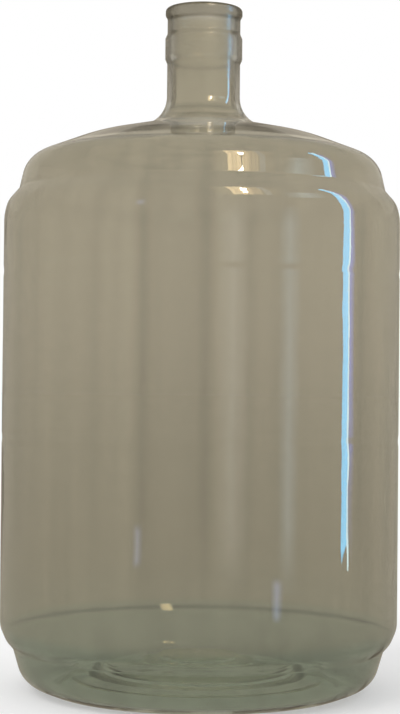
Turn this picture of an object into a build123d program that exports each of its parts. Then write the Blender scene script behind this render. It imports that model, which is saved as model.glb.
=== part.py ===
"""A 23 litre blow-moulded PET carboy with an open snap-ring neck.

The bottle is one thin shell, turned from one closed half section: down the outside from the
sealing lip to the gate, then back up the inside. The wall is thick in the neck, where the
preform hardly stretches, thin in the body, and thick again round the gate.

Millimetres, +Z up along the bottle's axis, origin at the centre of the plane it stands on.
Drops are measured down from the mouth, heights up from the standing plane, and insets in
from the body's side.
"""

from build123d import *
from dataclasses import dataclass
from math import hypot
import os

# Overall sizes
HEIGHT = 487.0
BODY_DIAMETER = 283.0

# Neck finish: a sealing bead at the mouth, and a band that the snap cap's skirt grips. The
# bead tapers off underneath, and the band at both ends.
NECK_BORE = 46.0
NECK_WALL = 3.2
BORE_DEPTH = 62.0
LIP_ROUND = 0.8
BEAD_PROJECTION = 1.45
BEAD_HEIGHT = 5.2
BEAD_TAPER = 2.6
BEAD_ROUND = 2.6
BAND_PROJECTION = 1.5
BAND_DROP = 22.0
BAND_HEIGHT = 14.6
BAND_TAPER = 3.4
TAPER_ROUND = 2.0
TAPER_FOOT_ROUND = 1.2

# Flare and dome, from the neck's root out to the shoulder
FLARE_DROP = 81.2
FLARE_ROUND = 21.6
FLARE_WALL = 2.3
DOME_INSET = 58.5
DOME_DROP = 93.6
DOME_ROUND = 130.0
DOME_WALL = 1.3

# Shoulder, the waist that is tucked in under it, and the ledge that steps out to the body
SHOULDER_INSET = 15.5
SHOULDER_DROP = 110.4
SHOULDER_ROUND = 21.5
WAIST_INSET = 10.5
WAIST_DROP = 132.5
WAIST_ROUND = 1.6
LEDGE_INSET = 2.4
LEDGE_DROP = 141.8
LEDGE_ROUND = 16.0
BODY_TOP_DROP = 151.6
BODY_TOP_ROUND = 30.0
SIDE_WALL = 0.9

# Two faint grooves round the body
UPPER_GROOVE_DROP = 191.0
LOWER_GROOVE_HEIGHT = 178.0
GROOVE_WIDTH = 9.0
GROOVE_DEPTH = 0.4
GROOVE_ROUND = 12.0

# Lower end of the body, the step below it, and the heel
BODY_FOOT_HEIGHT = 45.5
BODY_FOOT_ROUND = 20.0
TUCK_INSET = 4.4
TUCK_HEIGHT = 35.4
TUCK_ROUND = 14.0
STEP_INSET = 9.4
STEP_HEIGHT = 29.7
STEP_ROUND = 1.6
HEEL_INSET = 16.0
HEEL_HEIGHT = 7.2
HEEL_ROUND = 19.0
HEEL_WALL = 1.1

# Foot: the flat ring that the bottle stands on
FOOT_INSET = 34.0
FOOT_WIDTH = 7.0
FOOT_ROUND = 9.0
FOOT_WALL = 1.4

# Push-up under the bottle: a slope up from the foot, then risers between shallow rings.
# Each ring is given by how much of the way in to the gate it lies, how much of the way up,
# and the wall there.
PUSH_UP_RUN = 10.0
PUSH_UP_HEIGHT = 8.0
PUSH_UP_ROUND = 5.0
RINGS = ((0.29, 0.21, 1.7), (0.625, 0.55, 2.3), (0.77, 0.77, 2.8))
RISER_RUN = 2.4
RISER_HEIGHT = 2.0
RISER_ROUND = 1.2
GATE_DIAMETER = 13.0
GATE_HEIGHT = 22.5
GATE_WALL = 3.4
GATE_DROP = 1.0
GATE_ROUND = 0.4


@dataclass
class Corner:
    """A corner of the half section: its place, its rounding, and the wall behind it."""

    radius: float
    height: float
    rounding: float = 0.0
    wall: float = 0.0


body_radius = BODY_DIAMETER / 2
bore_radius = NECK_BORE / 2
neck_radius = bore_radius + NECK_WALL
gate_radius = GATE_DIAMETER / 2
foot_radius = body_radius - FOOT_INSET


def neck_finish():
    """The outside of the neck: the bead round the lip, then the band."""
    bead_radius = neck_radius + BEAD_PROJECTION
    bead_bottom = HEIGHT - BEAD_HEIGHT
    band_radius = neck_radius + BAND_PROJECTION
    band_top = HEIGHT - BAND_DROP
    band_bottom = band_top - BAND_HEIGHT
    return [
        Corner(bead_radius, HEIGHT, BEAD_ROUND),
        Corner(bead_radius, bead_bottom, TAPER_ROUND),
        Corner(neck_radius, bead_bottom - BEAD_TAPER, TAPER_FOOT_ROUND),
        Corner(neck_radius, band_top + BAND_TAPER, TAPER_FOOT_ROUND),
        Corner(band_radius, band_top, TAPER_ROUND),
        Corner(band_radius, band_bottom, TAPER_ROUND),
        Corner(neck_radius, band_bottom - BAND_TAPER, TAPER_FOOT_ROUND),
    ]


def dome_and_shoulder():
    """The outside from the straight neck to the top of the body."""
    return [
        Corner(neck_radius, HEIGHT - BORE_DEPTH, 0.0, NECK_WALL),
        Corner(neck_radius, HEIGHT - FLARE_DROP, FLARE_ROUND, FLARE_WALL),
        Corner(body_radius - DOME_INSET, HEIGHT - DOME_DROP, DOME_ROUND, DOME_WALL),
        Corner(body_radius - SHOULDER_INSET, HEIGHT - SHOULDER_DROP, SHOULDER_ROUND, SIDE_WALL),
        Corner(body_radius - WAIST_INSET, HEIGHT - WAIST_DROP, WAIST_ROUND, SIDE_WALL),
        Corner(body_radius - LEDGE_INSET, HEIGHT - LEDGE_DROP, LEDGE_ROUND, SIDE_WALL),
        Corner(body_radius, HEIGHT - BODY_TOP_DROP, BODY_TOP_ROUND, SIDE_WALL),
    ]


def groove(height):
    """A shallow groove round the body, pressed in from outside with the wall following it."""
    return [
        Corner(body_radius, height + GROOVE_WIDTH / 2, GROOVE_ROUND, SIDE_WALL),
        Corner(body_radius - GROOVE_DEPTH, height, GROOVE_ROUND, SIDE_WALL),
        Corner(body_radius, height - GROOVE_WIDTH / 2, GROOVE_ROUND, SIDE_WALL),
    ]


def lower_end():
    """The outside from the body's lower end, over the step and round the heel, to the foot."""
    return [
        Corner(body_radius, BODY_FOOT_HEIGHT, BODY_FOOT_ROUND, SIDE_WALL),
        Corner(body_radius - TUCK_INSET, TUCK_HEIGHT, TUCK_ROUND, SIDE_WALL),
        Corner(body_radius - STEP_INSET, STEP_HEIGHT, STEP_ROUND, HEEL_WALL),
        Corner(body_radius - HEEL_INSET, HEEL_HEIGHT, HEEL_ROUND, HEEL_WALL),
        Corner(foot_radius, 0.0, FOOT_ROUND, FOOT_WALL),
        Corner(foot_radius - FOOT_WIDTH, 0.0, FOOT_ROUND, FOOT_WALL),
    ]


def push_up():
    """The underside from the foot in to the gate."""
    slope_top = foot_radius - FOOT_WIDTH - PUSH_UP_RUN
    corners = [Corner(slope_top, PUSH_UP_HEIGHT, PUSH_UP_ROUND, FOOT_WALL)]
    for way_in, way_up, wall in RINGS:
        radius = slope_top - way_in * (slope_top - gate_radius)
        height = PUSH_UP_HEIGHT + way_up * (GATE_HEIGHT - PUSH_UP_HEIGHT)
        corners.append(Corner(radius + RISER_RUN, height, RISER_ROUND, wall))
        corners.append(Corner(radius, height + RISER_HEIGHT, RISER_ROUND, wall))
    corners.append(Corner(gate_radius, GATE_HEIGHT, GATE_ROUND, GATE_WALL))
    return corners


def inside_of(corners, before, after):
    """The same corners on the inner face, each moved in square to the wall by its thickness."""
    inner = []
    path = [before, *corners, after]
    for last, here, following in zip(path, path[1:], path[2:]):
        in_run, in_rise = here.radius - last.radius, here.height - last.height
        out_run, out_rise = following.radius - here.radius, following.height - here.height
        in_length, out_length = hypot(in_run, in_rise), hypot(out_run, out_rise)
        # The sum of the two walls' inward normals points along the corner's bisector.
        across = in_rise / in_length + out_rise / out_length
        along = -in_run / in_length - out_run / out_length
        shift = 2 * here.wall / (across**2 + along**2)
        bulges = in_run * out_rise - in_rise * out_run < 0
        rounding = here.rounding - here.wall if bulges else here.rounding + here.wall
        inner.append(
            Corner(
                here.radius + across * shift,
                here.height + along * shift,
                max(rounding, 0.0) if here.rounding else 0.0,
            )
        )
    return inner


def half_section():
    """The closed half section of the wall, from the lip round the outside and back inside."""
    shell = (
        dome_and_shoulder()
        + groove(HEIGHT - UPPER_GROOVE_DROP)
        + groove(LOWER_GROOVE_HEIGHT)
        + lower_end()
        + push_up()
    )
    gate = [
        Corner(gate_radius, GATE_HEIGHT - GATE_DROP, GATE_ROUND),
        Corner(0.0, GATE_HEIGHT - GATE_DROP),
        Corner(0.0, GATE_HEIGHT + GATE_WALL),
    ]
    inside = inside_of(shell, Corner(neck_radius, HEIGHT), Corner(0.0, GATE_HEIGHT))
    lip = [Corner(bore_radius, HEIGHT, LIP_ROUND)]
    corners = neck_finish() + shell + gate + inside[::-1] + lip
    points = [(corner.radius, corner.height) for corner in corners]
    outline = FilletPolyline(*points, radius=[corner.rounding for corner in corners], close=True)
    return make_face(Plane.XZ * outline)


os.makedirs("parts", exist_ok=True)
bottle = revolve(half_section(), Axis.Z)
export_step(bottle, "parts/bottle.step")
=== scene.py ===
"""Looks of a clear blow-moulded PET carboy with an open snap-ring neck.

The bottle is one thin shell, so it is one piece: its half section is drawn as a wire, from
the gate out round the outside to the lip and back down the inside, and that wire is spun into
the shell. Each zone of the bottle is a class that holds its own sizes.

Metres, +Z up along the bottle's axis, origin at the centre of the plane it stands on.
"""

import logging
import math
from dataclasses import dataclass, field
from enum import Enum
from typing import Dict, List, Optional, Tuple

import bmesh
import bpy
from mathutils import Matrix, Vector


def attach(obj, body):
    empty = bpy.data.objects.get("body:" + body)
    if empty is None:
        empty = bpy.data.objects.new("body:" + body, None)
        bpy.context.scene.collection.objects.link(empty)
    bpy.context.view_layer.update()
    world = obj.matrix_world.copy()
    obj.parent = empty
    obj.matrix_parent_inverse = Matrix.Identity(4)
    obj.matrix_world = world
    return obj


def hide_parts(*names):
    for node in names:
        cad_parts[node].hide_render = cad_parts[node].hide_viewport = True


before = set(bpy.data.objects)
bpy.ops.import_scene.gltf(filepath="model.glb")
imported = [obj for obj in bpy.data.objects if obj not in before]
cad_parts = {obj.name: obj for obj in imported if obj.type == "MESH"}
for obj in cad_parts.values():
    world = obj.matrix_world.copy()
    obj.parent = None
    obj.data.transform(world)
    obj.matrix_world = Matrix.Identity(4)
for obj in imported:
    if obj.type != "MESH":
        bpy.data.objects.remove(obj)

CAD_NODE = "bottle"
BODY = "root"

HEIGHT = 0.487
BODY_RADIUS = 0.1415
NECK_RADIUS = 0.0262

SHARP_ANGLE = math.radians(40)
LIGHT_BOUNCES = 40
COLUMNS_PER_METRE = 19.0
BEAM_SHARPNESS = 70.0

Colour = Tuple[float, float, float]
log = logging.getLogger("carboy")


def order_of(place: Vector) -> float:
    """Returns a number that orders places by height, and by X and Y at one height."""
    return place.z * 1.0e6 + place.x * 1.0e3 + place.y


def place_mesh(name: str, shape: bmesh.types.BMesh) -> bpy.types.Object:
    """Turns a drawn shape into an object in the scene.

    Args:
        name: the name of the object and its mesh.
        shape: the drawn shape, which is freed.

    Returns:
        The object, at the origin.
    """
    mesh = bpy.data.meshes.new(name)
    shape.to_mesh(mesh)
    shape.free()
    placed = bpy.data.objects.new(name, mesh)
    bpy.context.scene.collection.objects.link(placed)
    return placed


class Turn(Enum):
    """Which way a corner of the half section turns."""

    LEFT = 1
    RIGHT = -1


@dataclass(frozen=True)
class Corner:
    """A corner of the half section: where it is, its rounding, and the wall behind it."""

    radius: float
    height: float
    rounding: float = 0.0
    wall: float = 0.0

    def place(self) -> Vector:
        """Returns the corner's place in the plane of the half section."""
        return Vector((self.radius, 0.0, self.height))


@dataclass
class NeckFinish:
    """The neck's outside: a sealing bead round the lip, and the band that a cap grips."""

    bore_radius: float = 0.023
    lip_round: float = 0.0008
    bead_projection: float = 0.00145
    bead_height: float = 0.0052
    bead_taper: float = 0.0026
    bead_round: float = 0.0026
    band_projection: float = 0.0015
    band_drop: float = 0.022
    band_height: float = 0.0146
    band_taper: float = 0.0034
    taper_round: float = 0.002
    taper_foot_round: float = 0.0012

    def outside(self) -> List[Corner]:
        """Returns the corners from the lip down to the plain neck."""
        bead = NECK_RADIUS + self.bead_projection
        band = NECK_RADIUS + self.band_projection
        bead_bottom = HEIGHT - self.bead_height
        band_top = HEIGHT - self.band_drop
        band_bottom = band_top - self.band_height
        return [
            Corner(bead, HEIGHT, self.bead_round),
            Corner(bead, bead_bottom, self.taper_round),
            Corner(NECK_RADIUS, bead_bottom - self.bead_taper, self.taper_foot_round),
            Corner(NECK_RADIUS, band_top + self.band_taper, self.taper_foot_round),
            Corner(band, band_top, self.taper_round),
            Corner(band, band_bottom, self.taper_round),
            Corner(NECK_RADIUS, band_bottom - self.band_taper, self.taper_foot_round),
        ]

    def lip(self) -> Corner:
        """Returns the corner between the lip's flat top and the bore."""
        return Corner(self.bore_radius, HEIGHT, self.lip_round)


@dataclass
class DomeAndShoulder:
    """From the straight neck over the flare, dome and shoulder to the ledge above the body."""

    bore_depth: float = 0.062
    neck_wall: float = 0.0032
    flare: Corner = Corner(NECK_RADIUS, HEIGHT - 0.0812, 0.0216, 0.0023)
    dome: Corner = Corner(BODY_RADIUS - 0.0585, HEIGHT - 0.0936, 0.13, 0.0013)
    shoulder: Corner = Corner(BODY_RADIUS - 0.0155, HEIGHT - 0.1104, 0.0215, 0.0009)
    waist: Corner = Corner(BODY_RADIUS - 0.0105, HEIGHT - 0.1325, 0.0016, 0.0009)
    ledge: Corner = Corner(BODY_RADIUS - 0.0024, HEIGHT - 0.1418, 0.016, 0.0009)
    body_top: Corner = Corner(BODY_RADIUS, HEIGHT - 0.1516, 0.03, 0.0009)

    def outside(self) -> List[Corner]:
        """Returns the corners from the neck's root down to the body."""
        root = Corner(NECK_RADIUS, HEIGHT - self.bore_depth, 0.0, self.neck_wall)
        return [root, self.flare, self.dome, self.shoulder, self.waist, self.ledge, self.body_top]


@dataclass
class Body:
    """The straight side, with two faint grooves pressed into it."""

    groove_heights: Tuple[float, float] = (HEIGHT - 0.191, 0.178)
    groove_width: float = 0.009
    groove_depth: float = 0.0004
    groove_round: float = 0.012
    wall: float = 0.0009

    def outside(self) -> List[Corner]:
        """Returns the corners of both grooves, from the upper one down."""
        corners = []
        for height in self.groove_heights:
            half = self.groove_width / 2
            depth = BODY_RADIUS - self.groove_depth
            corners += [
                Corner(BODY_RADIUS, height + half, self.groove_round, self.wall),
                Corner(depth, height, self.groove_round, self.wall),
                Corner(BODY_RADIUS, height - half, self.groove_round, self.wall),
            ]
        return corners


@dataclass
class Heel:
    """The body's lower end: the tuck, the step, the heel's round, and the foot."""

    body_foot: Corner = Corner(BODY_RADIUS, 0.0455, 0.02, 0.0009)
    tuck: Corner = Corner(BODY_RADIUS - 0.0044, 0.0354, 0.014, 0.0009)
    step: Corner = Corner(BODY_RADIUS - 0.0094, 0.0297, 0.0016, 0.0011)
    heel: Corner = Corner(BODY_RADIUS - 0.016, 0.0072, 0.019, 0.0011)
    foot_radius: float = BODY_RADIUS - 0.034
    foot_width: float = 0.007
    foot_round: float = 0.009
    foot_wall: float = 0.0014

    def outside(self) -> List[Corner]:
        """Returns the corners from the body's lower end to the inner edge of the foot."""
        inner = self.foot_radius - self.foot_width
        return [
            self.body_foot,
            self.tuck,
            self.step,
            self.heel,
            Corner(self.foot_radius, 0.0, self.foot_round, self.foot_wall),
            Corner(inner, 0.0, self.foot_round, self.foot_wall),
        ]


@dataclass
class PushUp:
    """The underside: a slope up from the foot, then risers between rings, in to the gate."""

    slope_top: float = BODY_RADIUS - 0.051
    slope_height: float = 0.008
    slope_round: float = 0.005
    slope_wall: float = 0.0014
    rings: Tuple[Tuple[float, float, float], ...] = (
        (0.29, 0.21, 0.0017),
        (0.625, 0.55, 0.0023),
        (0.77, 0.77, 0.0028),
    )
    riser_run: float = 0.0024
    riser_height: float = 0.002
    riser_round: float = 0.0012
    gate_radius: float = 0.0065
    gate_height: float = 0.0225
    gate_wall: float = 0.0034
    gate_drop: float = 0.001
    gate_round: float = 0.0004

    def outside(self) -> List[Corner]:
        """Returns the corners from the slope up to the gate's rim."""
        corners = [Corner(self.slope_top, self.slope_height, self.slope_round, self.slope_wall)]
        for way_in, way_up, wall in self.rings:
            radius = self.slope_top - way_in * (self.slope_top - self.gate_radius)
            height = self.slope_height + way_up * (self.gate_height - self.slope_height)
            corners += [
                Corner(radius + self.riser_run, height, self.riser_round, wall),
                Corner(radius, height + self.riser_height, self.riser_round, wall),
            ]
        corners.append(Corner(self.gate_radius, self.gate_height, self.gate_round, self.gate_wall))
        return corners

    def gate(self) -> List[Corner]:
        """Returns the gate's stub, and the two ends of the wire on the axis."""
        low = self.gate_height - self.gate_drop
        high = self.gate_height + self.gate_wall
        return [Corner(self.gate_radius, low, self.gate_round), Corner(0.0, low), Corner(0.0, high)]


@dataclass
class Scribe:
    """Draws corners as one wire: an arc spun at each rounded corner, and runs between them."""

    mesh: bmesh.types.BMesh
    arc_turn: float = math.radians(7.5)
    arc_chord: float = 0.004
    run_length: float = 0.012
    last: Optional[bmesh.types.BMVert] = field(default=None)

    def run_to(self, place: Vector) -> bmesh.types.BMVert:
        """Draws a straight run from the wire's end.

        Args:
            place: where the run ends.

        Returns:
            The vertex at the run's end.
        """
        end = self.mesh.verts.new(place)
        if self.last is not None:
            self.mesh.edges.new((self.last, end))
        self.last = end
        return end

    def divide_runs(self) -> None:
        """Divides the long runs, so that their shading stays true near the arcs."""
        by_cuts: Dict[int, List[bmesh.types.BMEdge]] = {}
        for edge in self.mesh.edges:
            by_cuts.setdefault(int(edge.calc_length() / self.run_length), []).append(edge)
        for cuts in sorted(by_cuts):
            if cuts:
                bmesh.ops.subdivide_edges(self.mesh, edges=by_cuts[cuts], cuts=cuts)

    def round_corner(self, before: Vector, here: Corner, after: Vector) -> None:
        """Draws the run to a rounded corner and the arc round it.

        Args:
            before: the corner before this one.
            here: the corner to round.
            after: the corner after this one.
        """
        corner = here.place()
        into, out = (corner - before).normalized(), (after - corner).normalized()
        turn = into.angle(out)
        tangent = here.rounding * math.tan(turn / 2)
        way = Turn.LEFT if into.cross(out).y < 0 else Turn.RIGHT
        start = self.run_to(corner - into * tangent)
        square = Vector((-into.z, 0.0, into.x)) * way.value
        centre = start.co + square * here.rounding
        chords = here.rounding * turn / self.arc_chord
        steps = max(2, math.ceil(turn / self.arc_turn), math.ceil(chords))
        spun = bmesh.ops.spin(
            self.mesh,
            geom=[start],
            cent=centre,
            axis=Vector((0.0, -1.0, 0.0)) * way.value,
            angle=turn,
            steps=steps,
        )
        self.last = next(g for g in spun["geom_last"] if isinstance(g, bmesh.types.BMVert))

    def draw(self, corners: List[Corner]) -> None:
        """Draws the wire through the corners, from the first to the last.

        Args:
            corners: the corners in order; the first and last are the wire's two ends.
        """
        self.run_to(corners[0].place())
        for before, here, after in zip(corners, corners[1:], corners[2:]):
            if here.rounding > 0.0:
                self.round_corner(before.place(), here, after.place())
            else:
                self.run_to(here.place())
        self.run_to(corners[-1].place())
        self.divide_runs()


@dataclass
class Carboy:
    """The whole bottle, spun from its zones as one closed shell."""

    neck: NeckFinish = field(default_factory=NeckFinish)
    dome: DomeAndShoulder = field(default_factory=DomeAndShoulder)
    body: Body = field(default_factory=Body)
    heel: Heel = field(default_factory=Heel)
    push_up: PushUp = field(default_factory=PushUp)
    steps: int = 240
    weld: float = 0.000001

    @staticmethod
    def inside_of(corners: List[Corner], before: Corner, after: Corner) -> List[Corner]:
        """Moves corners in square to the wall by its thickness.

        Args:
            corners: the outside's corners, each with its own wall.
            before: the corner ahead of the first one.
            after: the corner behind the last one.

        Returns:
            The same corners on the inner face.
        """
        inner = []
        path = [before, *corners, after]
        for last, here, following in zip(path, path[1:], path[2:]):
            into = (here.place() - last.place()).normalized()
            out = (following.place() - here.place()).normalized()
            square = Vector((into.z + out.z, 0.0, -into.x - out.x))
            place = here.place() + square * (2 * here.wall / square.length_squared)
            bulges = into.cross(out).y > 0
            rounding = here.rounding - here.wall if bulges else here.rounding + here.wall
            inner.append(Corner(place.x, place.z, max(rounding, 0.0) if here.rounding else 0.0))
        return inner

    def half_section(self) -> List[Corner]:
        """Returns the wire's corners, from the gate up the outside and back down the inside."""
        shell = (
            self.dome.outside() + self.body.outside() + self.heel.outside() + self.push_up.outside()
        )
        rim, low, high = self.push_up.gate()
        inside = self.inside_of(shell, Corner(NECK_RADIUS, HEIGHT), high)
        outside = self.neck.outside() + shell + [rim, low]
        return outside[::-1] + [self.neck.lip()] + inside + [high]

    def build(self) -> bpy.types.Object:
        """Spins the half section into the shell.

        Returns:
            The bottle, at the origin.
        """
        shell = bmesh.new()
        Scribe(shell).draw(self.half_section())
        bmesh.ops.spin(
            shell,
            geom=shell.verts[:] + shell.edges[:],
            cent=(0.0, 0.0, 0.0),
            axis=(0.0, 0.0, 1.0),
            angle=math.tau,
            steps=self.steps,
            use_merge=True,
        )
        bmesh.ops.remove_doubles(shell, verts=shell.verts[:], dist=self.weld)
        bmesh.ops.recalc_face_normals(shell, faces=shell.faces[:])
        shell.verts.sort(key=lambda vert: order_of(vert.co))
        shell.edges.sort(key=lambda edge: order_of(edge.verts[0].co + edge.verts[1].co))
        shell.faces.sort(key=lambda face: order_of(face.calc_center_median()))
        for face in shell.faces:
            face.smooth = True
        open_edges = sum(1 for edge in shell.edges if len(edge.link_faces) != 2)
        bottle = place_mesh("bottle_shell", shell)
        bottle.data.set_sharp_from_angle(angle=SHARP_ANGLE)
        triangles = sum(len(p.vertices) - 2 for p in bottle.data.polygons)
        log.info("shell: %d triangles, %d open edges", triangles, open_edges)
        return bottle


class NodeBoard:
    """Lays nodes in a node tree and joins them."""

    def __init__(self, tree: bpy.types.NodeTree) -> None:
        """Empties the tree.

        Args:
            tree: the tree to lay nodes in.
        """
        self.tree = tree
        tree.nodes.clear()

    def add(self, kind: str, **values: object) -> bpy.types.Node:
        """Adds a node.

        Args:
            kind: the node's type name, without its ShaderNode prefix.
            **values: properties of the node to set.

        Returns:
            The new node.
        """
        node = self.tree.nodes.new("ShaderNode" + kind)
        for name, value in values.items():
            setattr(node, name, value)
        return node

    def join(self, source: bpy.types.NodeSocket, target: object) -> None:
        """Joins an output to an input socket, or sets a plain value on it.

        Args:
            source: an output socket, or a number or colour.
            target: the input socket.
        """
        if isinstance(source, bpy.types.NodeSocket):
            self.tree.links.new(source, target)
        else:
            target.default_value = source

    def maths(self, operation: str, *inputs: object, clamp: bool = False) -> bpy.types.NodeSocket:
        """Adds a Math node.

        Args:
            operation: the node's operation.
            *inputs: sockets or numbers.
            clamp: whether the result is held between 0 and 1.

        Returns:
            The node's output.
        """
        node = self.add("Math", operation=operation, use_clamp=clamp)
        for value, socket in zip(inputs, node.inputs):
            self.join(value, socket)
        return node.outputs[0]

    def fade(self, value: object, start: float, rate: float) -> bpy.types.NodeSocket:
        """Makes a mask that is 0 at a value and rises from there, up to 1.

        Args:
            value: the socket that drives it.
            start: the value at which the mask is 0.
            rate: how fast the mask rises, negative where it rises below the start.

        Returns:
            The mask.
        """
        return self.maths("MULTIPLY_ADD", value, rate, -rate * start, clamp=True)

    def ramp(self, value: object, stops: List[Tuple[float, Colour]]) -> bpy.types.NodeSocket:
        """Adds a Color Ramp.

        Args:
            value: the socket that drives it.
            stops: position and colour of each stop, in order.

        Returns:
            The ramp's colour.
        """
        node = self.add("ValToRGB")
        elements = node.color_ramp.elements
        while len(elements) < len(stops):
            elements.new(1.0)
        for element, (position, colour) in zip(elements, stops):
            element.position = position
            element.color = (*colour, 1.0)
        self.join(value, node.inputs[0])
        return node.outputs[0]

    def mix(
        self, blend: str, factor: object, first: object, second: object
    ) -> bpy.types.NodeSocket:
        """Adds a colour Mix node.

        Args:
            blend: its blend type.
            factor: a socket or number.
            first: colour A.
            second: colour B.

        Returns:
            The mixed colour.
        """
        node = self.add("Mix", data_type="RGBA", blend_type=blend)
        self.join(factor, node.inputs[0])
        self.join(first, node.inputs[6])
        self.join(second, node.inputs[7])
        return node.outputs[2]


@dataclass(frozen=True)
class PaintedReflectionStreak:
    """A painted reflection: a faint darker streak down the bottle's tint.

    The angle goes round from the front, +90 at +X, in degrees.
    """

    angle: float
    half_width: float
    shade: float


@dataclass(frozen=True)
class Ring:
    """A dark ring round the outside, where the wall bends the light away.

    It shades light that leaves through the outside, or light that enters there. Only the
    skin beyond its radius takes it, and that limit slopes with the height.
    """

    height: float
    half_width: float
    shade: float
    leaving: bool
    radius: float = 0.0252
    slope: float = 0.0


@dataclass(frozen=True)
class ClearPet:
    """Clear stretched PET: faintly smoky and a little wavy, with painted shade and painted
    reflection streaks in its tint.
    """

    ior: float = 1.57
    roughness: float = 0.02
    neck_roughness: float = 0.25
    neck_foot: float = 0.42
    # the plastic's smoky tone, with painted shade: darker and greener in the heel, where the floor
    # is seen through it
    smoke_and_painted_shade: Tuple[Tuple[float, Colour], ...] = (
        (0.0, (0.445, 0.470, 0.400)),
        (0.084, (0.445, 0.470, 0.400)),
        (0.098, (0.505, 0.486, 0.407)),
        (0.20, (0.516, 0.488, 0.409)),
        (0.35, (0.543, 0.513, 0.433)),
        (0.52, (0.587, 0.553, 0.470)),
        (0.62, (0.602, 0.568, 0.482)),
        (0.74, (0.605, 0.570, 0.485)),
        (0.785, (0.585, 0.555, 0.470)),
        (0.86, (0.600, 0.568, 0.478)),
    )
    base_tint: Colour = (0.82, 0.87, 0.76)
    base_radius: float = 0.11417
    base_top: float = 0.1
    # painted shade and highlight where the wall is seen edge on, by height: darker body and neck
    # sides, lighter dome
    edge_highlights_and_shades: Tuple[Tuple[float, Colour], ...] = (
        (0.0, (0.42, 0.43, 0.36)),
        (0.70, (0.45, 0.42, 0.36)),
        (0.76, (0.98, 0.95, 0.86)),
        (0.815, (1.0, 0.97, 0.88)),
        (0.835, (0.84, 0.81, 0.72)),
        (0.86, (0.18, 0.16, 0.125)),
    )
    painted_edge_starts: Tuple[Tuple[float, Colour], ...] = (
        (0.76, (0.80, 0.80, 0.80)),
        (0.785, (0.87, 0.87, 0.87)),
        (0.82, (0.87, 0.87, 0.87)),
        (0.84, (0.80, 0.80, 0.80)),
        (0.86, (0.44, 0.44, 0.44)),
    )
    edge_gain: float = 13.0
    lip_shade: Colour = (0.25, 0.23, 0.19)
    lip_foot: float = 0.4755
    rings: Tuple[Ring, ...] = (
        Ring(0.449, 0.0019, 0.5, leaving=True),
        Ring(0.4125, 0.004, 0.6, leaving=False),
        Ring(0.0396, 0.0024, 0.45, leaving=True, radius=0.1384, slope=0.436),
    )
    # painted reflection streaks: darker bands down the wall, placed by angle round the bottle
    reflection_streaks: Tuple[PaintedReflectionStreak, ...] = (
        PaintedReflectionStreak(-142.0, 6.0, 0.93),
        PaintedReflectionStreak(-96.0, 5.0, 0.92),
        PaintedReflectionStreak(-62.0, 7.0, 0.92),
        PaintedReflectionStreak(-15.5, 3.0, 0.85),
        PaintedReflectionStreak(1.0, 3.4, 0.80),
        PaintedReflectionStreak(13.5, 2.2, 0.91),
        PaintedReflectionStreak(49.0, 4.0, 0.90),
        PaintedReflectionStreak(84.0, 5.0, 0.94),
        PaintedReflectionStreak(121.0, 4.0, 0.92),
        PaintedReflectionStreak(152.0, 6.0, 0.94),
    )
    reflection_streaks_foot: float = 0.0583
    reflection_streaks_top: float = 0.3813
    reflection_streak_scale: Tuple[float, float, float] = (55.0, 55.0, 0.8)
    ripples_top: float = 0.365
    ripple_scale: Tuple[float, float, float] = (22.0, 22.0, 9.0)
    ripple_strength: float = 0.25
    ripple_depth: float = 0.002

    def wall_tint_and_shade(
        self, board: NodeBoard, height: bpy.types.NodeSocket, radius: bpy.types.NodeSocket
    ) -> bpy.types.NodeSocket:
        """Tints by place: smoky plastic, with painted see-through shade greener and darker in the
        heel; lighter in the base.

        Args:
            board: the tree to lay the nodes in.
            height: the height in metres.
            radius: the distance from the axis in metres.

        Returns:
            The tint.
        """
        tint = board.ramp(board.maths("DIVIDE", height, HEIGHT), list(self.smoke_and_painted_shade))
        below = board.fade(height, self.base_top, rate=-50.0)
        within = board.fade(radius, self.base_radius, rate=-120.0)
        base = board.maths("MULTIPLY", below, within)
        return board.mix("MIX", base, tint, (*self.base_tint, 1.0))

    def ring_shade(
        self,
        board: NodeBoard,
        tint: bpy.types.NodeSocket,
        height: bpy.types.NodeSocket,
        radius: bpy.types.NodeSocket,
    ) -> bpy.types.NodeSocket:
        """Darkens the lip, and the rings where the neck's outside slopes.

        Args:
            board: the tree to lay the nodes in.
            tint: the tint so far.
            height: the height in metres.
            radius: the distance from the axis in metres.

        Returns:
            The darkened tint.
        """
        leaving = board.add("NewGeometry").outputs["Backfacing"]
        entering = board.maths("SUBTRACT", 1.0, leaving)
        outside = board.maths("GREATER_THAN", radius, NECK_RADIUS - 0.001)
        lip = board.fade(height, self.lip_foot, rate=500.0)
        lip = board.maths("MULTIPLY", lip, board.maths("MULTIPLY", outside, entering))
        tint = board.mix("MULTIPLY", lip, tint, (*self.lip_shade, 1.0))
        for ring in self.rings:
            away = board.maths("ABSOLUTE", board.maths("SUBTRACT", height, ring.height))
            mask = board.fade(away, ring.half_width, rate=-1.0 / ring.half_width)
            mask = board.maths("MULTIPLY", mask, leaving if ring.leaving else entering)
            skin = board.maths(
                "MULTIPLY_ADD", height, ring.slope, ring.radius - ring.slope * ring.height
            )
            mask = board.maths("MULTIPLY", mask, board.maths("GREATER_THAN", radius, skin))
            tint = board.mix("MULTIPLY", mask, tint, (ring.shade, ring.shade, ring.shade, 1.0))
        return tint

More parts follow.
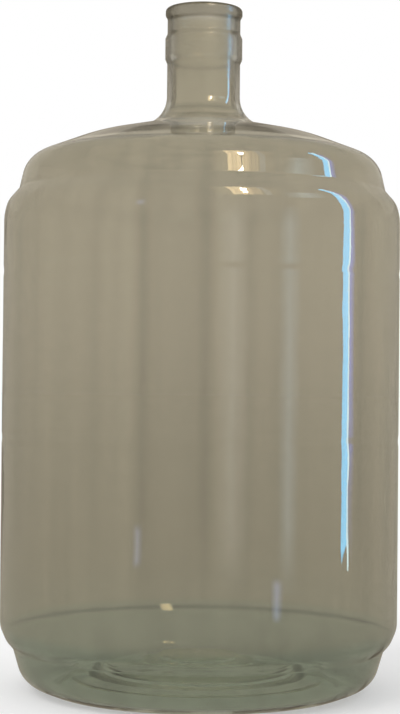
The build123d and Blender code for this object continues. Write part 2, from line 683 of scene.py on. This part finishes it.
    def paint_edge_light_and_shade(
        self, board: NodeBoard, tint: bpy.types.NodeSocket, height: bpy.types.NodeSocket
    ) -> bpy.types.NodeSocket:
        """Paints shade and highlight where the wall is seen edge on: darker at the body's and
        neck's sides, lighter at the dome's.

        Args:
            board: the tree to lay the nodes in.
            tint: the tint so far.
            height: the height in metres.

        Returns:
            The tint with painted shade and highlight at the edges.
        """
        facing = board.add("LayerWeight")
        board.join(0.5, facing.inputs["Blend"])
        share = board.maths("DIVIDE", height, HEIGHT)
        start = board.ramp(share, list(self.painted_edge_starts))
        past = board.maths("SUBTRACT", facing.outputs["Facing"], start)
        edge = board.maths("MULTIPLY", past, self.edge_gain, clamp=True)
        # mixes in the painted edge shade and highlight
        return board.mix("MIX", edge, tint, board.ramp(share, list(self.edge_highlights_and_shades)))

    def paint_reflection_streaks(
        self, board: NodeBoard, place: bpy.types.NodeSocket, xyz: bpy.types.Node
    ) -> bpy.types.NodeSocket:
        """Paints the reflection streaks that run down the wall, as shade in the tint.

        Args:
            board: the tree to lay the nodes in.
            place: the Object coordinates.
            xyz: the same, separated.

        Returns:
            A grey painted shade, 1 where no streak is painted.
        """
        inward = board.maths("MULTIPLY", xyz.outputs[1], -1.0)
        turn = board.maths("ARCTAN2", xyz.outputs[0], inward)
        share = board.maths("MULTIPLY_ADD", turn, 1.0 / math.tau, 0.5)
        stops: List[Tuple[float, Colour]] = []
        for painted_streak in self.reflection_streaks:
            for offset, shade in ((-1.0, 1.0), (0.0, painted_streak.shade), (1.0, 1.0)):
                position = (painted_streak.angle + offset * painted_streak.half_width) / 360.0 + 0.5
                stops.append((position, (shade, shade, shade)))
        # broad painted reflection streaks here, and fine ones from noise below
        broad_reflection_streaks = board.ramp(share, stops)
        fine = board.add("Mapping")
        board.join(place, fine.inputs["Vector"])
        fine.inputs["Scale"].default_value = self.reflection_streak_scale
        noise = board.add("TexNoise")
        board.join(fine.outputs[0], noise.inputs["Vector"])
        board.join(1.0, noise.inputs["Scale"])
        board.join(3.0, noise.inputs["Detail"])
        fine_reflection_streaks = board.ramp(noise.outputs[0], [(0.32, (0.93, 0.93, 0.93)), (0.62, (1.0, 1.0, 1.0))])
        low = board.fade(xyz.outputs[2], self.reflection_streaks_foot, rate=12.0)
        high = board.fade(xyz.outputs[2], self.reflection_streaks_top, rate=-16.0)
        strength = board.maths("MULTIPLY", low, high)
        return board.mix("MULTIPLY", strength, fine_reflection_streaks, broad_reflection_streaks)

    def build(self) -> bpy.types.Material:
        """Builds the material.

        Returns:
            The node material.
        """
        material = bpy.data.materials.new("clear_pet")
        material.use_nodes = True
        board = NodeBoard(material.node_tree)
        place = board.add("TexCoord").outputs["Object"]
        xyz = board.add("SeparateXYZ")
        board.join(place, xyz.inputs[0])
        square = board.maths("MULTIPLY", xyz.outputs[0], xyz.outputs[0])
        square = board.maths("MULTIPLY_ADD", xyz.outputs[1], xyz.outputs[1], square)
        radius = board.maths("SQRT", square)
        tint = self.wall_tint_and_shade(board, xyz.outputs[2], radius)
        tint = board.mix("MULTIPLY", 1.0, tint, self.paint_reflection_streaks(board, place, xyz))
        tint = self.paint_edge_light_and_shade(board, tint, xyz.outputs[2])
        tint = self.ring_shade(board, tint, xyz.outputs[2], radius)
        shader = board.add("BsdfPrincipled")
        board.join(tint, shader.inputs["Base Color"])
        rough = board.fade(xyz.outputs[2], self.neck_foot, rate=30.0)
        rough = board.maths("MULTIPLY_ADD", rough, self.neck_roughness, self.roughness)
        board.join(rough, shader.inputs["Roughness"])
        board.join(self.ior, shader.inputs["IOR"])
        board.join(1.0, shader.inputs["Transmission Weight"])
        board.join(self.ripples(board, place, xyz.outputs[2]), shader.inputs["Normal"])
        output = board.add("OutputMaterial")
        board.join(shader.outputs[0], output.inputs["Surface"])
        return material

    def ripples(
        self, board: NodeBoard, place: bpy.types.NodeSocket, height: bpy.types.NodeSocket
    ) -> bpy.types.NodeSocket:
        """Makes the body's faint waves, which stop below the dome.

        Args:
            board: the tree to lay the nodes in.
            place: the Object coordinates.
            height: the height in metres.

        Returns:
            The bumped normal.
        """
        wave = board.add("TexNoise")
        ripple = board.add("Mapping")
        ripple.inputs["Scale"].default_value = self.ripple_scale
        board.join(place, ripple.inputs["Vector"])
        board.join(ripple.outputs[0], wave.inputs["Vector"])
        board.join(1.0, wave.inputs["Scale"])
        board.join(2.0, wave.inputs["Detail"])
        bump = board.add("Bump")
        board.join(self.ripple_strength, bump.inputs["Strength"])
        board.join(self.ripple_depth, bump.inputs["Distance"])
        below_dome = board.fade(height, self.ripples_top, rate=-40.0)
        level = board.maths("SUBTRACT", wave.outputs[0], 0.5)
        board.join(board.maths("MULTIPLY", level, below_dome), bump.inputs["Height"])
        return bump.outputs[0]


@dataclass(frozen=True)
class Card:
    """A glowing panel of the studio, which the camera sees only by way of the bottle.

    Its place is a direction and a distance from the spot on the bottle that reflects it.
    Azimuth 0 is towards the camera and 90 to the right of it. An upright card stands plumb,
    and any other faces its spot. A soft card fades out at its sides, a columned one breaks up
    into fine columns, and a beam glows only square to the card. A card shows in the gloss, or
    through the wall if it is seen through.
    """

    name: str
    spot: Tuple[float, float, float]
    azimuth: float
    elevation: float
    distance: float
    size: Tuple[float, float]
    colour: Colour
    strength: float
    slant: float = 0.0
    upright: bool = False
    soft: bool = False
    seen_through: bool = False
    in_gloss: bool = True
    beam: bool = False
    columned: bool = False

    def aim(self) -> Vector:
        """Returns the direction from the reflecting spot to the card."""
        azimuth, elevation = math.radians(self.azimuth), math.radians(self.elevation)
        level = math.cos(elevation)
        return Vector(
            (level * math.sin(azimuth), -level * math.cos(azimuth), math.sin(elevation))
        )

    def soft_mask(self, board: NodeBoard) -> bpy.types.NodeSocket:
        """Fades the card out towards its sides, and faster at its ends.

        Args:
            board: the tree to lay the nodes in.

        Returns:
            The mask, 1 where the card glows in full.
        """
        across = board.add("SeparateXYZ")
        board.join(board.add("TexCoord").outputs["Object"], across.inputs[0])
        away = board.maths("ABSOLUTE", across.outputs[0])
        glowing = board.fade(away, self.size[0] / 2, rate=-2.0 / self.size[0])
        up = board.maths("ABSOLUTE", across.outputs[1])
        ends = board.fade(up, self.size[1] / 2, rate=-6.0 / self.size[1])
        return board.maths("MULTIPLY", glowing, ends)

    @staticmethod
    def columns(board: NodeBoard) -> bpy.types.NodeSocket:
        """Breaks the glow up into fine upright columns, fainter at one side.

        Args:
            board: the tree to lay the nodes in.

        Returns:
            The share of the glow that is left.
        """
        across = board.add("SeparateXYZ")
        board.join(board.add("TexCoord").outputs["Object"], across.inputs[0])
        noise = board.add("TexNoise", noise_dimensions="1D")
        board.join(board.maths("MULTIPLY", across.outputs[0], COLUMNS_PER_METRE), noise.inputs["W"])
        board.join(1.0, noise.inputs["Scale"])
        board.join(1.0, noise.inputs["Detail"])
        dim, full = (0.66, 0.66, 0.66), (1.0, 1.0, 1.0)
        stripes = board.ramp(noise.outputs[0], [(0.36, dim), (0.54, full)])
        side = board.fade(across.outputs[0], -0.21, rate=5.0)
        return board.maths("MULTIPLY", stripes, board.maths("MAXIMUM", side, 0.35))

    @staticmethod
    def beam_mask(board: NodeBoard) -> bpy.types.NodeSocket:
        """Keeps the glow to a narrow beam square to the card.

        Args:
            board: the tree to lay the nodes in.

        Returns:
            The mask, 1 for light that leaves square to the card.
        """
        facing = board.add("LayerWeight")
        board.join(0.5, facing.inputs["Blend"])
        return board.fade(facing.outputs["Facing"], 1.0 / BEAM_SHARPNESS, rate=-BEAM_SHARPNESS)

    def glow(self) -> bpy.types.Material:
        """Builds the card's glow.

        Returns:
            The material.
        """
        material = bpy.data.materials.new(self.name)
        material.use_nodes = True
        board = NodeBoard(material.node_tree)
        light = board.add("Emission")
        board.join((*self.colour, 1.0), light.inputs["Color"])
        board.join(self.strength, light.inputs["Strength"])
        if self.columned:
            level = board.maths("MULTIPLY", self.columns(board), self.strength)
            board.join(level, light.inputs["Strength"])
        surface = light.outputs[0]
        if self.soft or self.beam:
            fade = board.add("MixShader")
            mask = self.beam_mask(board) if self.beam else self.soft_mask(board)
            board.join(mask, fade.inputs[0])
            board.join(board.add("BsdfTransparent").outputs[0], fade.inputs[1])
            board.join(surface, fade.inputs[2])
            surface = fade.outputs[0]
        output = board.add("OutputMaterial")
        board.join(surface, output.inputs["Surface"])
        return material

    def build(self) -> bpy.types.Object:
        """Builds the card, facing the spot that reflects it.

        Returns:
            The card.
        """
        card = bmesh.new()
        bmesh.ops.create_grid(card, x_segments=1, y_segments=1, size=0.5)
        bmesh.ops.scale(card, vec=(self.size[0], self.size[1], 1.0), verts=card.verts[:])
        corner = min(card.verts, key=lambda vert: vert.co.y + 0.001 * vert.co.x)
        bmesh.ops.translate(card, vec=(0.0, self.slant, 0.0), verts=[corner])
        panel = place_mesh(self.name, card)
        panel.location = Vector(self.spot) + self.aim() * self.distance
        back = -self.aim()
        if self.upright:
            back.z = 0.0
        panel.rotation_euler = back.to_track_quat("Z", "Y").to_euler()
        panel.data.materials.append(self.glow())
        panel.visible_camera = False
        panel.visible_diffuse = False
        panel.visible_shadow = False
        panel.visible_transmission = self.seen_through
        panel.visible_glossy = self.in_gloss
        return panel


SHOULDER_SPOT = (0.03, -0.127, 0.355)
SIDE_SPOT = (0.097, -0.103, 0.2)
FRONT_SPOT = (0.02, -0.13, 0.2)
HEEL_SPOT = (-0.025, 0.139, 0.042)


@dataclass(frozen=True)
class Studio:
    """A plain pale floor, soft light, and a white background all round."""

    floor_size: float = 60.0
    floor_drop: float = 0.0003
    floor_paint: float = 0.63
    floor_glow: float = 0.37
    ambient: float = 0.8
    sun: float = 0.785
    sun_spread: float = math.radians(40.0)
    sun_way: Tuple[float, float, float] = (0.45, 0.4, -0.8)
    room_radius: float = 9.0
    room: Colour = (0.27, 0.235, 0.175)
    cards: Tuple[Card, ...] = (
        Card(
            "tall_window", SIDE_SPOT, 89.8, 25.4, 1.052, (0.098, 1.3), (0.1, 0.58, 1.0), 10.5,
            slant=0.03, upright=True,
        ),
        Card(
            "window_edge", SIDE_SPOT, 92.1, 25.4, 1.03, (0.022, 1.3), (0.6, 0.9, 1.0), 9.0,
            upright=True,
        ),
        Card(
            "window_fringe", SIDE_SPOT, 93.5, 25.4, 1.06, (0.13, 1.3), (0.1, 0.2, 1.0), 4.5,
            upright=True, soft=True,
        ),
        Card(
            "wall_wash", SHOULDER_SPOT, 28.0, 38.0, 1.8, (1.3, 0.7), (1.0, 0.74, 0.36), 2.4,
            soft=True,
        ),
        Card(
            "wall_glow", SHOULDER_SPOT, 27.5, 38.0, 1.7, (0.54, 0.6), (1.0, 0.73, 0.38), 9.0,
            columned=True,
        ),
        Card("wall_edge", SHOULDER_SPOT, 41.5, 38.0, 1.7, (0.1, 0.6), (1.0, 0.96, 0.85), 1.4),
        Card("wall_gap", SHOULDER_SPOT, 26.5, 36.4, 1.65, (0.02, 0.12), (1.0, 1.0, 1.0), 0.0),
        Card(
            "upper_lamp", SHOULDER_SPOT, 26.5, 39.7, 1.6, (0.08, 0.13), (1.0, 0.93, 0.8), 150.0,
            seen_through=True,
        ),
        Card(
            "foot_lamp", SHOULDER_SPOT, 25.9, 35.34, 1.6, (0.075, 0.005), (1.0, 0.93, 0.8), 150.0,
        ),
        Card(
            "lower_lamp", SHOULDER_SPOT, 26.7, 33.4, 1.6, (0.08, 0.055), (1.0, 0.93, 0.8), 220.0,
            seen_through=True,
        ),
        Card(
            "heel_lamp", HEEL_SPOT, 24.0, 41.0, 0.5, (0.05, 0.08), (1.0, 0.85, 0.6), 150.0,
            seen_through=True, in_gloss=False, beam=True,
        ),
        Card(
            "back_wall", SHOULDER_SPOT, 180.0, 25.0, 3.31, (7.0, 1.6), (0.36, 0.32, 0.25), 1.0,
            upright=True,
        ),
        Card(
            "rear_right", SHOULDER_SPOT, 171.0, 21.5, 3.22, (1.1, 0.9), (0.74, 0.67, 0.54), 1.0,
            upright=True, soft=True,
        ),
        Card(
            "rear_left", SHOULDER_SPOT, -171.0, 21.5, 3.22, (1.1, 0.9), (0.70, 0.63, 0.51), 1.0,
            upright=True, soft=True,
        ),
        Card(
            "far_wall", SHOULDER_SPOT, 66.0, 28.0, 2.2, (1.1, 0.35), (0.7, 0.92, 1.0), 1.9,
            soft=True,
        ),
        Card(
            "near_wall", FRONT_SPOT, 17.5, 2.0, 0.7, (0.26, 0.46), (1.0, 0.95, 0.85), 1.3,
            soft=True,
        ),
        Card(
            "side_wall", FRONT_SPOT, 52.5, 2.0, 0.7, (0.17, 0.46), (0.8, 0.95, 1.0), 1.7,
            soft=True,
        ),
        Card(
            "left_glint", FRONT_SPOT, -39.2, -13.9, 0.554, (0.06, 0.045), (0.5, 0.6, 1.0), 2.4,
            upright=True, soft=True,
        ),
        Card(
            "right_glint", FRONT_SPOT, 48.2, -26.2, 0.358, (0.045, 0.036), (0.5, 0.6, 1.0), 3.0,
            upright=True, soft=True,
        ),
        Card(
            "high_glint", FRONT_SPOT, -39.6, 25.5, 0.58, (0.06, 0.09), (0.5, 0.6, 1.0), 2.0,
            upright=True, soft=True,
        ),
    )

    @staticmethod
    def seen_rays(board: NodeBoard) -> bpy.types.NodeSocket:
        """Finds the rays that look at the background: the camera's, and those of the gloss.

        Args:
            board: the tree to lay the nodes in.

        Returns:
            A mask of those rays.
        """
        path = board.add("LightPath")
        seen = board.maths("MAXIMUM", path.outputs["Is Camera Ray"], path.outputs["Is Glossy Ray"])
        return board.maths("MAXIMUM", seen, path.outputs["Is Transmission Ray"])

    def background(self) -> None:
        """Sets the world: white to be looked at, and a plain soft level as light."""
        world = bpy.data.worlds.new("studio")
        bpy.context.scene.world = world
        world.use_nodes = True
        board = NodeBoard(world.node_tree)
        seen = self.seen_rays(board)
        light = board.add("Background")
        board.join((1.0, 1.0, 1.0, 1.0), light.inputs["Color"])
        board.join(self.ambient, light.inputs["Strength"])
        white = board.add("Background")
        board.join((1.0, 1.0, 1.0, 1.0), white.inputs["Color"])
        board.join(1.0, white.inputs["Strength"])
        chosen = board.add("MixShader")
        board.join(seen, chosen.inputs[0])
        board.join(light.outputs[0], chosen.inputs[1])
        board.join(white.outputs[0], chosen.inputs[2])
        output = board.add("OutputWorld")
        board.join(chosen.outputs[0], output.inputs["Surface"])

    def floor(self) -> bpy.types.Object:
        """Builds the floor, which looks white and keeps the bottle's shadow.

        Returns:
            The floor.
        """
        sheet = bmesh.new()
        bmesh.ops.create_grid(sheet, x_segments=1, y_segments=1, size=self.floor_size / 2)
        floor = place_mesh("floor", sheet)
        floor.location = (0.0, 0.0, -self.floor_drop)
        material = bpy.data.materials.new("pale_floor")
        material.use_nodes = True
        board = NodeBoard(material.node_tree)
        paint = board.add("BsdfDiffuse")
        board.join((*[self.floor_paint] * 3, 1.0), paint.inputs["Color"])
        glow = board.add("Emission")
        board.join((1.0, 1.0, 1.0, 1.0), glow.inputs["Color"])
        seen = board.maths("MULTIPLY", self.seen_rays(board), self.floor_glow)
        board.join(seen, glow.inputs["Strength"])
        both = board.add("AddShader")
        board.join(paint.outputs[0], both.inputs[0])
        board.join(glow.outputs[0], both.inputs[1])
        output = board.add("OutputMaterial")
        board.join(both.outputs[0], output.inputs["Surface"])
        floor.data.materials.append(material)
        return floor

    def surroundings(self) -> bpy.types.Object:
        """Builds the dim room round the studio, which shows only in the bottle's gloss.

        Returns:
            The room.
        """
        dome = bmesh.new()
        bmesh.ops.create_uvsphere(dome, u_segments=48, v_segments=24, radius=self.room_radius)
        bmesh.ops.bisect_plane(
            dome,
            geom=dome.verts[:] + dome.edges[:] + dome.faces[:],
            plane_co=(0.0, 0.0, 0.0),
            plane_no=(0.0, 0.0, -1.0),
            clear_outer=True,
        )
        rim = [edge for edge in dome.edges if edge.is_boundary]
        bmesh.ops.contextual_create(dome, geom=rim)
        bmesh.ops.translate(dome, vec=(0.0, 0.0, -self.floor_drop / 2), verts=dome.verts[:])
        room = place_mesh("room", dome)
        material = bpy.data.materials.new("dim_room")
        material.use_nodes = True
        board = NodeBoard(material.node_tree)
        glow = board.add("Emission")
        board.join((*self.room, 1.0), glow.inputs["Color"])
        board.join(1.0, glow.inputs["Strength"])
        output = board.add("OutputMaterial")
        board.join(glow.outputs[0], output.inputs["Surface"])
        room.data.materials.append(material)
        room.visible_camera = False
        room.visible_diffuse = False
        room.visible_transmission = False
        room.visible_shadow = False
        return room

    def sunlight(self) -> bpy.types.Object:
        """Hangs one broad soft sun above the viewer's left.

        Returns:
            The lamp.
        """
        lamp = bpy.data.lights.new("sun", "SUN")
        lamp.energy = self.sun
        lamp.angle = self.sun_spread
        sun = bpy.data.objects.new("sun", lamp)
        bpy.context.scene.collection.objects.link(sun)
        sun.rotation_euler = Vector(self.sun_way).to_track_quat("-Z", "Y").to_euler()
        sun.visible_glossy = False
        sun.visible_transmission = False
        return sun

    def build(self) -> None:
        """Builds the background, floor, room, lamp and cards."""
        self.background()
        self.floor()
        self.surroundings()
        self.sunlight()
        for card in self.cards:
            card.build()
        log.info("studio: floor, room, sun and %d cards", len(self.cards))


@dataclass(frozen=True)
class Viewpoint:
    """Where the camera stands: in front of the bottle, at the height of its lower half."""

    distance: float = 1.25
    height: float = 0.217
    lens: float = 87.75
    tilt: float = 0.884
    roll: float = -0.554
    swing: float = 0.0188

    def build(self) -> bpy.types.Object:
        """Builds the camera and makes it the scene's own.

        Returns:
            The camera.
        """
        data = bpy.data.cameras.new("camera")
        data.sensor_width = 36.0
        data.lens = self.lens
        data.clip_start = 0.01
        camera = bpy.data.objects.new("camera", data)
        bpy.context.scene.collection.objects.link(camera)
        camera.location = (0.0, -self.distance, self.height)
        camera.rotation_euler = (
            math.radians(90.0 + self.tilt),
            math.radians(self.roll),
            math.radians(self.swing),
        )
        bpy.context.scene.camera = camera
        return camera


def main() -> None:
    """Builds the bottle, its finish and the studio round it."""
    logging.basicConfig(level=logging.INFO, format="%(name)s: %(message)s")
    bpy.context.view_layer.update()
    Viewpoint().build()
    bottle = Carboy().build()
    bottle.data.materials.append(ClearPet().build())
    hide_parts(CAD_NODE)
    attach(bottle, BODY)
    log.info("bottle: clear PET shell in place of %s", CAD_NODE)
    Studio().build()
    scene = bpy.context.scene
    scene.view_settings.view_transform = "Standard"
    scene.cycles.max_bounces = LIGHT_BOUNCES
    scene.cycles.glossy_bounces = LIGHT_BOUNCES
    scene.cycles.transmission_bounces = LIGHT_BOUNCES


if __name__ == "__main__":
    main()
